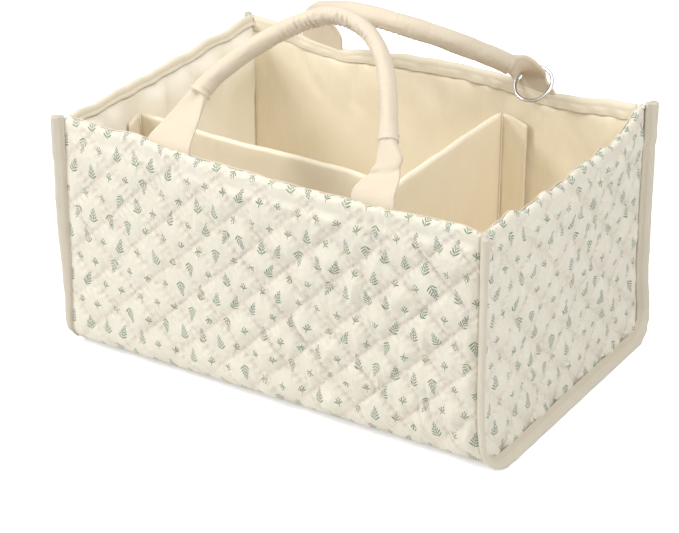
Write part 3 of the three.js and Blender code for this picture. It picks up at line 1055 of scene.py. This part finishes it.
for name, side in ends.items():
    # The left wall's lining takes the copy painted lighter.
    finish = lit_finish if name == "left" else lining_finish
    panel = make_piece(
        f"lining_{name}", sew_lining_end(side), finish, "lining_cotton", "caddy", [f"{name}_lining"])
    thicken(panel, lining_thickness)
    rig.sheet(panel, flat=(0.234, 0.160), held="stretched", rests_on=[f"{name}_stiffener"])

# %% [markdown]
# ## Rim facing
# Inside the rim a folded band covers the raw edges of quilt and lining. It is narrow on the left,
# and it comes further over the rim at the back and left than at the front and right. It could be the
# turned top of the lining, but the real band is sewn on, so it is a strip that follows the rim, with
# puckers from the stitches along its lower edge.

# %% Rim facing
facing_depths = {"front": 6, "back": 6, "left": 2, "right": 6}
facing_starts = {"front": 0.3, "back": 0.6, "left": 0.6, "right": 0.3}
long_walls = {"front": -1, "back": 1}


def on_wall(wall, along, inset, z):
    """A place on a wall of the shell: along it, in from its outer face, and up."""
    if wall in long_walls:
        return along, long_walls[wall] * (half_depth - inset), z
    return ends[wall] * (half_length - inset), along, z


def inside_reach(wall):
    return (half_length if wall in long_walls else half_depth) - wall_thickness


def sew_facing(wall, seed):
    reach = inside_reach(wall) + 0.4
    facing_depth = facing_depths[wall]
    stations = rim_stations(rim_radius + 0.6, facing_starts[wall], 0, 7)
    inner = stations[-1][0]
    rows = 8
    for row in range(1, rows + 1):
        share = row / rows
        inset = between(inner, wall_thickness + 0.7, share)
        stations.append((inset, rim_middle - facing_depth * share, -1, 0))
    steps = (2 * round(reach / 1.6), len(stations) - 1)

    def place(a, b):
        inset, z = stations[round(b * steps[1])][:2]
        along = between(-reach, reach, a)
        below = max(0, rim_middle - z) / facing_depth
        seam = ease(0.55, 0.9, below)
        swell = 0.3 * ease(0, 0.3, below) * (1 - 0.75 * seam)
        pucker = 0.9 * wobble(along / 9, z / 14, seed) * ease(0, 0.4, below)
        depth = inset + swell + pucker
        return soften(*on_wall(wall, along, depth, z)), (along, z)

    bm = sew(steps, place)
    return turn_over(bm) if wall in ("front", "right") else bm


for seed, wall in enumerate(("front", "back", "left", "right")):
    facing = make_piece(
        f"facing_{wall}", sew_facing(wall, 61 + seed), shaded_hem_finish, "lining_cotton", "caddy",
        [f"{wall}_top_hem"])
    thicken(facing, 0.7)
    reach = inside_reach(wall)
    cut_depth = 0.014 if wall == "back" else 0.011
    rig.sheet(facing, flat=(2 * reach * MM, cut_depth), held="folded", rests_on=[f"{wall}_stiffener"])

# %% [markdown]
# ## Edge binding
# A tape folded over the seam stands out from each end along both uprights and the base. It could be
# a bevelled curve, but its ends are doubled back at the rim and it gathers round the lower corners,
# so it is a grid rolled into a flat tube along the seam. At the front left it is drawn in, more and
# more towards the foot.

# %% Edge binding
binding_half = 2.25
binding_middle = 5.4
binding_reach = 5.2
binding_fold = 30
seam_rise = 4


def squared(value, power):
    """A power below 1 makes a round section squarer. The sign is kept."""
    return math.copysign(abs(value) ** power, value)


def sew_binding(side):
    tip = wall_height + 1.5
    tips = (tip, tip - 0.8, tip - 2)
    back_drop = 3 if side < 0 else 0
    stations = [(-half_depth, height, -1, 0) for height in tips]
    stations += [station for station in wrap_stations(2.5, 4) if station[3] <= 0]
    stations += [(half_depth, height - back_drop, 1, 0) for height in reversed(tips)]
    runs = run_lengths(stations)
    last = len(stations) - 1

    def place(a, b):
        index = round(b * last)
        y, z, out_y, out_z = stations[index]
        before = stations[max(0, index - 1)]
        after = stations[min(last, index + 1)]
        run = Vector((0, after[0] - before[0], after[1] - before[1])).normalized()
        out = Vector((side, out_y, 0)).normalized()
        across = run.cross(out).normalized()
        angle = 2 * math.pi * a
        flat = squared(math.cos(angle), 0.7)
        thick = squared(math.sin(angle), 0.9)
        from_end = min(runs[index], runs[-1] - runs[index])
        blunt = min(1, 0.84 + 0.2 * from_end)
        doubled = 0.3 * ease(binding_fold + 0.8, binding_fold - 0.8, from_end)
        bend = bell(math.hypot(abs(y) - half_depth + 7, z - 7), 22)
        gather = bend * 0.45 * math.sin(runs[index] * 1.1)
        gather += 0.4 * wobble(runs[index] / 11, math.cos(angle), 71 + side)
        waist = 1 - 0.4 * bell(flat + 0.4, 0.22)
        reach = binding_middle + binding_reach * flat * blunt + gather + 2.4 * doubled
        if side < 0:
            drawn_in = 2 * ease(110, 60, z) + 2 * ease(70, 20, z) + 2.5 * ease(22, 3, z)
            reach -= drawn_in * ease(-60, -100, y) * ease(-1, 1, flat)
        half = (binding_half * waist * (1 + doubled) + 0.5 * gather) * blunt
        seat = soften(side * half_length, y - out_y * binding_half, z - out_z * binding_half)
        seat.x = soften(side * half_length, y, z).x
        hidden = seam_rise * ease(0.3, -0.8, flat) * ease(0, 0.4, side * across.z * thick)
        seat.z += hidden * ease(-0.5, -0.9, out_z)
        return seat + out * reach + across * (half * thick), (a * binding_girth, runs[index])

    return sew((20, last), place, closed=True)


for name, side in ends.items():
    binding = make_piece(
        f"binding_{name}", sew_binding(side), binding_finish, "binding_tape", "caddy",
        [f"{name}_edge_binding"])
    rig.padded(binding, fill=0.4)

# %% [markdown]
# ## Handles
# Each handle is a flat strap sewn into the wall that closes into a padded tube above the rim. The
# tube follows two smooth curves in the strap's leaning plane. One long tube could make the whole
# handle, but its foot has to bend when the handle swings. So foot and tube are two pieces, and the
# foot blends between the caddy and the handle.

# %% Handle routes
neck_overlap = 3


class Handle:
    """Where a handle's feet, necks and top are, in its own leaning plane."""

    def __init__(self, name, side, lean, feet, neck_ins, turn_ins, neck_up, top, pulls):
        hinge = joints[f"{name}_swing"]["pos_m"]
        self.name = name
        self.side = side
        self.lean = math.radians(lean)
        self.hinge = Vector(hinge) * (1 / MM)
        self.feet = feet
        self.necks = (feet[0] + neck_ins[0], feet[1] - neck_ins[1])
        self.turn_ins = turn_ins
        self.neck_up = neck_up
        self.top = Vector(top)
        self.pulls = pulls

    def up(self, angle):
        return Vector((0, -self.side * math.sin(angle), math.cos(angle)))

    def out(self, angle):
        return Vector((0, self.side * math.cos(angle), math.sin(angle)))

    def stand(self, flat, off):
        """A point of the leaning plane, and some way off that plane."""
        foot = Vector((flat.x, self.hinge.y, self.hinge.z))
        return foot + self.up(self.lean) * flat.y + self.out(self.lean) * off

    def spine(self, s, strap):
        """A point on the strap's middle line and its lean there. It stands in the wall, then leans over."""
        point = self.hinge + Vector((0, 0, min(s, strap.bend_from)))
        angle = 0
        steps = max(0, round((s - strap.bend_from) * 2))
        for count in range(steps):
            step = (s - strap.bend_from) / steps
            reached = strap.bend_from + (count + 0.5) * step
            angle = strap.lean * ease(strap.bend_from, strap.bend_to, reached)
            point = point + self.up(angle) * step
        return point, angle

    def loop(self, share):
        """A point of the tube in the leaning plane and the way it runs."""
        left = Vector((self.necks[0], self.neck_up))
        right = Vector((self.necks[1], self.neck_up))
        rise = Vector((self.turn_ins[0], self.neck_up)).normalized()
        fall = Vector((-self.turn_ins[1], self.neck_up)).normalized()
        ahead = Vector((1, 0))
        if share < 0.5:
            t = share * 2
            first = left - rise * neck_overlap
            second = left + rise * self.pulls[0]
            third = self.top - ahead * self.pulls[1]
            fourth = self.top
        else:
            t = share * 2 - 1
            first = self.top
            second = self.top + ahead * self.pulls[2]
            third = right + fall * self.pulls[3]
            fourth = right - fall * neck_overlap
        rest = 1 - t
        point = first * rest ** 3 + second * 3 * rest * rest * t
        point = point + third * 3 * rest * t * t + fourth * t ** 3
        way = (second - first) * rest * rest + (third - second) * 2 * rest * t
        way = way + (fourth - third) * t * t
        return point, way.normalized()


front_handle = Handle(
    "front_handle", side=-1, lean=45, feet=front_feet, neck_ins=(8, 6), turn_ins=(8, 17),
    neck_up=44, top=(8, 121.4), pulls=(18, 30, 45, 26))
rear_handle = Handle(
    "rear_handle", side=1, lean=56, feet=(-98, 82), neck_ins=(8, 8), turn_ins=(8, 8),
    neck_up=43, top=(-5, 115), pulls=(22, 34, 38, 30))
print("front hinge", [round(value, 1) for value in front_handle.hinge])

# %% [markdown]
# ## Padded sleeves
# Cloth sewn round a soft roll makes the tube. It gathers on the inside of the bend and has a seam
# along it. A bevelled curve would give a smooth tube without gathers, so a grid is rolled up along
# the route. The sleeve is a little oval, and the roll inside is a plain tube of its own.

# %% Padded sleeves
sleeve_radius = 7.5
sleeve_girth = 47
filling_radius = 3.6
filling_girth = 23


def sew_sleeve(handle, seed, slim, seam_at):
    steps = (36, 300)
    runs = [0]
    for step in range(steps[1]):
        gap = handle.loop((step + 1) / steps[1])[0] - handle.loop(step / steps[1])[0]
        runs.append(runs[-1] + gap.length)

    def place(a, b):
        point, way = handle.loop(b)
        outward = Vector((-way.y, way.x))
        angle = 2 * math.pi * a
        inner = ease(0.5, -0.8, math.sin(angle))
        bend = bell(b - 0.47, 0.15)
        run = runs[round(b * steps[1])]
        around = Vector((run / 12, math.sin(angle) * 0.8, math.cos(angle) * 0.8 + seed))
        valley = (1 - abs(math.sin(run * 0.8 + 2 * noise.noise(around)))) ** 2
        fold = max(0, noise.noise(around * 1.7) + 0.45)
        gather = 0.6 * noise.noise(around * 0.9) - (0.5 + 3.2 * bend * inner) * fold * valley
        seam = 0.9 * bell((a - seam_at) * sleeve_girth, 1.6)
        from_end = min(run, runs[-1] - run)
        lip = 1 if b < 0.5 and handle is front_handle else 0.25
        hem = lip * (0.6 * bell(from_end, 1.6) - 0.45 * bell(from_end - 4, 1.2))
        radius = max(5, sleeve_radius + gather * ease(0, 10, from_end)) + seam + hem
        squash = between(0.95, slim, ease(0, 18, from_end))
        flat = point + outward * (radius * squash * math.sin(angle))
        return handle.stand(flat, radius * math.cos(angle)), (a * sleeve_girth, run)

    return sew(steps, place, closed=True)


def sew_filling(handle):
    def place(a, b):
        point, way = handle.loop(between(0.03, 0.97, b))
        angle = 2 * math.pi * a
        flat = point + Vector((-way.y, way.x)) * (filling_radius * math.sin(angle))
        return handle.stand(flat, filling_radius * math.cos(angle)), (a * filling_girth, b * 200)

    return sew((16, 90), place, closed=True)


for handle, seed, slim, seam_at in ((front_handle, 81, 0.8, 0.66), (rear_handle, 87, 0.9, 0.46)):
    sleeve = make_piece(
        f"{handle.name}_padded_sleeve", sew_sleeve(handle, seed, slim, seam_at), handle_finish,
        "handle_cloth", handle.name, [f"{handle.name}_sleeve"])
    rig.padded(sleeve, fill=0.9)
    filling = make_piece(
        f"{handle.name}_filling", sew_filling(handle), core_finish, "handle_core", handle.name,
        [f"{handle.name}_core"])
    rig.padded(filling, fill=0.9)

# %% [markdown]
# ## Strap feet
# Between wall and tube the strap is flat, and then it folds round on itself. Two sections could be
# bridged, but each foot of the real caddy sits differently: one bows, one leans aside and one twists
# at the ring. So the section of a grid goes from flat to round, with a value for each of these.

# %% How each strap goes
foot_width = 36


class Strap:
    """How one foot's strap bends over, closes into the tube, bows, leans aside and twists."""

    def __init__(self, bend_from, bend_to, lean, length, closes_from, thins_by=None, bow=0, shift=0,
                 skew=0, twist=0, waist=foot_width, pleat=3.2):
        self.bend_from = bend_from
        self.bend_to = bend_to
        self.lean = math.radians(lean)
        self.length = length
        self.closes_from = closes_from
        self.thins_by = thins_by
        self.bow = bow
        self.shift = shift
        self.skew = skew
        self.twist = math.radians(twist)
        self.waist = waist
        self.pleat = pleat


straps = {
    front_handle: (
        Strap(bend_from=-7.3, bend_to=7, lean=45.1, length=43.4, closes_from=0.5),
        Strap(bend_from=-7.3, bend_to=7, lean=45.1, length=43.4, closes_from=0.5, bow=5, pleat=0.7),
    ),
    rear_handle: (
        Strap(bend_from=3, bend_to=24, lean=75.6, length=48.9, closes_from=0.25, thins_by=28,
              shift=7.5, skew=5),
        Strap(bend_from=-2, bend_to=10, lean=61.3, length=44.2, closes_from=0.4, thins_by=40,
              skew=3.5, twist=60, waist=23),
    ),
}
print("straps", sum(len(pair) for pair in straps.values()))

# %% Strap feet
foot_girth = 60
foot_sunk = -22
foot_overlap = 4
neck_radius = 6.8


def sew_foot(handle, number, strap, seed):
    foot = handle.feet[number]
    neck = handle.necks[number]
    top = strap.length + foot_overlap

    def place(a, b):
        s = between(foot_sunk, top, b)
        middle, lean = handle.spine(s, strap)
        share = min(1, max(0, s / strap.length))
        closing = ease(strap.closes_from, 1, share)
        narrowing = ease(-6, strap.thins_by, s) if strap.thins_by else share
        width = between(foot_width, strap.waist, bell(s, 7))
        half_width = min(width / 2, between(foot_width / 2, neck_radius - 0.4, narrowing))
        half_thick = between(1.3, neck_radius, closing)
        angle = 2 * math.pi * a
        power = between(0.4, 1, closing)
        wide = squared(math.cos(angle), power)
        thick = squared(math.sin(angle), power)
        pleat = -strap.pleat * ease(0.5, 0.85, share) * bell(wide - 0.25, 0.4) * ease(0, 0.5, thick)
        crease = 0.9 * wobble(wide * 2.2, s / 14, seed) * ease(-4, 6, s) * (1 - closing)
        crease -= 0.44 * strap.bow * bell(s - 19 - 4 * wide, 2.2)
        puff = 0.25 * bell(share - 0.7, 0.2) - 0.24 * ease(1, 0.6, share) - 0.4 * bell(share - 0.55, 0.1)
        half_width += strap.bow * puff
        aside = math.sin(math.pi * share) ** 2 + 0.5 * bell(share - 0.78, 0.13)
        x = between(foot, neck, share) + strap.bow * aside
        x -= strap.shift * ease(-24, -14, s) * ease(1, 0.6, share)
        x -= strap.skew * ease(-8, 14, s) * ease(1, 0.6, share) * (1 + wide)
        twist = strap.twist * ease(0.08, 0.5, share)
        sideways = Vector((1, 0, 0))
        across = sideways * math.cos(twist) + handle.out(lean) * math.sin(twist)
        outward = handle.out(lean) * math.cos(twist) - sideways * math.sin(twist)
        point = Vector((x, middle.y, middle.z)) + across * (half_width * wide)
        return point + outward * (half_thick * thick + pleat + crease), (a * foot_girth, s)

    return sew((56, 60), place, closed=True)


for handle, wall in ((front_handle, "front"), (rear_handle, "back")):
    for number, name in enumerate(("left", "right")):
        foot = make_piece(
            f"{handle.name}_{name}_foot", sew_foot(handle, number, straps[handle][number], 91 + number),
            handle_finish, "handle_cloth", None,
            [f"{handle.name}_{name}_strap", f"{wall}_{name}_handle_anchor"])
        bends = (-4, 8) if handle is front_handle else (0, 18)
        low = handle.hinge + handle.up(handle.lean / 2) * bends[0]
        high = handle.hinge + handle.up(handle.lean / 2) * bends[1]
        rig.blend(foot, "caddy", handle.name, start=low * MM, end=high * MM)
        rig.padded(foot, fill=0.3)

# %% [markdown]
# ## Ring
# The ring is bent wire. A bevelled curve could make it too, but a small circle spun round the ring's
# axis is one step, and the merge closes the last of its turns onto the first.

# %% Ring
ring_radius = 14.5
ring_wire = 1.4
ring_drop = 5
ring_turn = math.radians(40)

bm = bmesh.new()
bmesh.ops.create_circle(
    bm, segments=18, radius=ring_wire * MM,
    matrix=Matrix.Translation((ring_radius * MM, 0, 0)) @ Matrix.Rotation(math.pi / 2, 4, "X"))
bmesh.ops.spin(
    bm, geom=bm.verts[:] + bm.edges[:], cent=(0, 0, 0), axis=(0, 0, 1), angle=2 * math.pi,
    steps=96, use_merge=True)
bmesh.ops.remove_doubles(bm, verts=bm.verts, dist=0.01 * MM)
bmesh.ops.recalc_face_normals(bm, faces=bm.faces)
ring_way = Vector((0, math.cos(ring_turn), math.sin(ring_turn)))
ring_foot = Vector((rear_handle.feet[1], rear_handle.hinge.y, rear_handle.hinge.z))
ring_middle = ring_foot - ring_way * ring_drop
bm.transform(Matrix.Translation(ring_middle * MM) @ Matrix.Rotation(ring_turn, 4, "X"))
make_piece("steel_ring", bm, steel_finish, "ring_steel", "ring", ["ring"])

# %% [markdown]
# ## Divider
# Each divider is a board in a cloth cover, soft along its top edge. The board can't be seen inside,
# so one padded slab stands for cover and board. A bevelled box would look hard, so a grid is wrapped
# all round the slab and closed at its ends. The long divider's left end stands a little higher.

# %% A slab
divider_top = 153
divider_half = 2.6


def sew_slab(length, settle_at, seed, sag, lift):
    """settle_at places a point by its way along and across, its share of the height up to the top
    there, and the curve of the top edge."""
    sides = 26
    round_top = 8
    last = 2 * sides + round_top
    steps = (last + 2, round(length / 4))

    def place(a, b):
        index = round(a * steps[0]) - 1
        along = between(-length / 2, length / 2, b)
        if index < 0 or index > last:
            across, share, curve = 0, 0, 0
        elif index <= sides:
            across, share, curve = -1, index / sides, 0
        elif index >= sides + round_top:
            across, share, curve = 1, (last - index) / sides, 0
        else:
            angle = math.pi * (index - sides) / round_top
            across, share, curve = -math.cos(angle), 1, math.sin(angle)
        loose = ease(length / 2 - 1, length / 2 - 16, abs(along))
        wave = 1.2 * wobble(along / 60, share * 1.5, seed) * share * loose
        pillow = 0.5 * wobble(along / 20, share * 5 + across, seed + 2)
        tuck = ease(length / 2, length / 2 - 8, abs(along))
        half = divider_half * between(0.45, 1, tuck) + pillow * loose
        dip = sag * bell(along - length / 2, 45)
        top = divider_top - divider_half - dip + lift * bell(along + length / 2, 40)
        point = settle_at(along, across * half + wave, share, top, curve * divider_half)
        return point, (along, share * top)

    return sew(steps, place, closed=True)


print("dividers", divider_top, "mm high before they settle")

# %% Cross and long divider
divider_end = 11.1
cross_x = 57
long_y = -38
left_lift = 5
cross_reach = half_depth - divider_end
long_start = divider_end - half_length
long_finish = cross_x - divider_half - 0.3


def floor_at(y):
    past = max(0, abs(y) - (half_depth - bottom_radius))
    radius = bottom_radius - floor_top
    return bottom_radius - math.sqrt(max(0, radius ** 2 - past ** 2))


def cross_place(along, across, share, top, extra):
    z = between(floor_at(-along), top, share) + extra
    return settle(cross_x + across, -along, z)


def long_place(along, across, share, top, extra):
    z = between(floor_top, top, share) + extra
    return settle((long_start + long_finish) / 2 + along, long_y + across, z)


cross_divider = make_piece(
    "cross_divider", sew_slab(2 * cross_reach, cross_place, 101, 0, 0), lining_finish, "lining_cotton",
    "insert", ["cross_divider_cover", "cross_divider_board"])
long_divider = make_piece(
    "long_divider_panel", sew_slab(long_finish - long_start, long_place, 107, 2, left_lift), lining_finish,
    "lining_cotton", "long_divider", ["long_divider_cover", "long_divider_board"])
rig.padded(cross_divider, fill=0.9)
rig.padded(long_divider, fill=0.9)

# %% [markdown]
# ## Flaps and fastener tape
# A flap at each divider end folds flat against the wall and holds there by hook tape on loop tape.
# Flap and divider could be one sheet, but the flap peels on its own. Flaps and tapes are all thin
# sheets on a wall, so one function sews them from their edges.

# %% Flaps and tapes
flap_inset = 10.8
hook_inset = 9.3
loop_inset = 7.8
fold_out = 2.8
flap_low = 24
flap_droop = 4
tape_low = 70
tape_high = 147
tape_margin = 4
# Each flap has its fold along its wall, the way it lies from there, its width and its top.
flaps = {
    "back": (cross_x + fold_out, 1, 20, divider_top),
    "front": (cross_x - fold_out, -1, 20, divider_top),
    "left": (long_y - fold_out, -1, 13, divider_top + left_lift),
}


def sew_patch(wall, start, finish, inset, low, high, droop, shape):
    def place(a, b):
        along = between(start, finish, a)
        top = high - droop * a * a
        z = between(low, top, b)
        curl = 0.4 * wobble(along / 9, z / 25, 113) * droop / flap_droop
        return shape(*on_wall(wall, along, inset - curl, z)), (along, z)

    bm = sew((12, 40), place)
    bm.faces.ensure_lookup_table()
    inward = Vector((0, 0, 0)) - bm.faces[0].calc_center_median()
    inward.z = 0
    return bm if bm.faces[0].normal.dot(inward) > 0 else turn_over(bm)


for name, (fold, way, reach, top) in flaps.items():
    far = fold + way * reach
    near = fold + way * tape_margin
    end = far - way * tape_margin
    body = f"{name}_flap"
    flap = make_piece(
        f"{name}_flap_cloth", sew_patch(name, fold, far, flap_inset, flap_low, top, flap_droop, settle),
        lining_finish, "lining_cotton", body, [f"{name}_flap"])
    thicken(flap, 1.1)
    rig.sheet(flap, flat=(reach * MM, 0.131), held="folded", rests_on=[f"{name}_hook_tape"])
    hook = make_piece(
        f"{name}_hooks", sew_patch(name, near, end, hook_inset, tape_low, tape_high, 0, settle),
        tape_finish, "fastener_tape", body, [f"{name}_hook_tape"])
    thicken(hook, 0.9)
    loops = make_piece(
        f"{name}_loops", sew_patch(name, near, end, loop_inset, tape_low, tape_high, 0, soften),
        tape_finish, "fastener_tape", "caddy", [f"{name}_loop_tape"])
    thicken(loops, 0.9)

# %% [markdown]
# ## Record the size
# Cloth may stand a little proud of the solids, but the caddy must not grow. The two boxes are
# written down side by side before the frame is finished.

# %% Finish
bpy.context.view_layer.update()
visual_box = [list(corner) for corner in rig.bounds()]
with open("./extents.json", "w") as sizes:
    json.dump({"cad": cad_box, "visual": visual_box}, sizes)
print("visual box", visual_box)
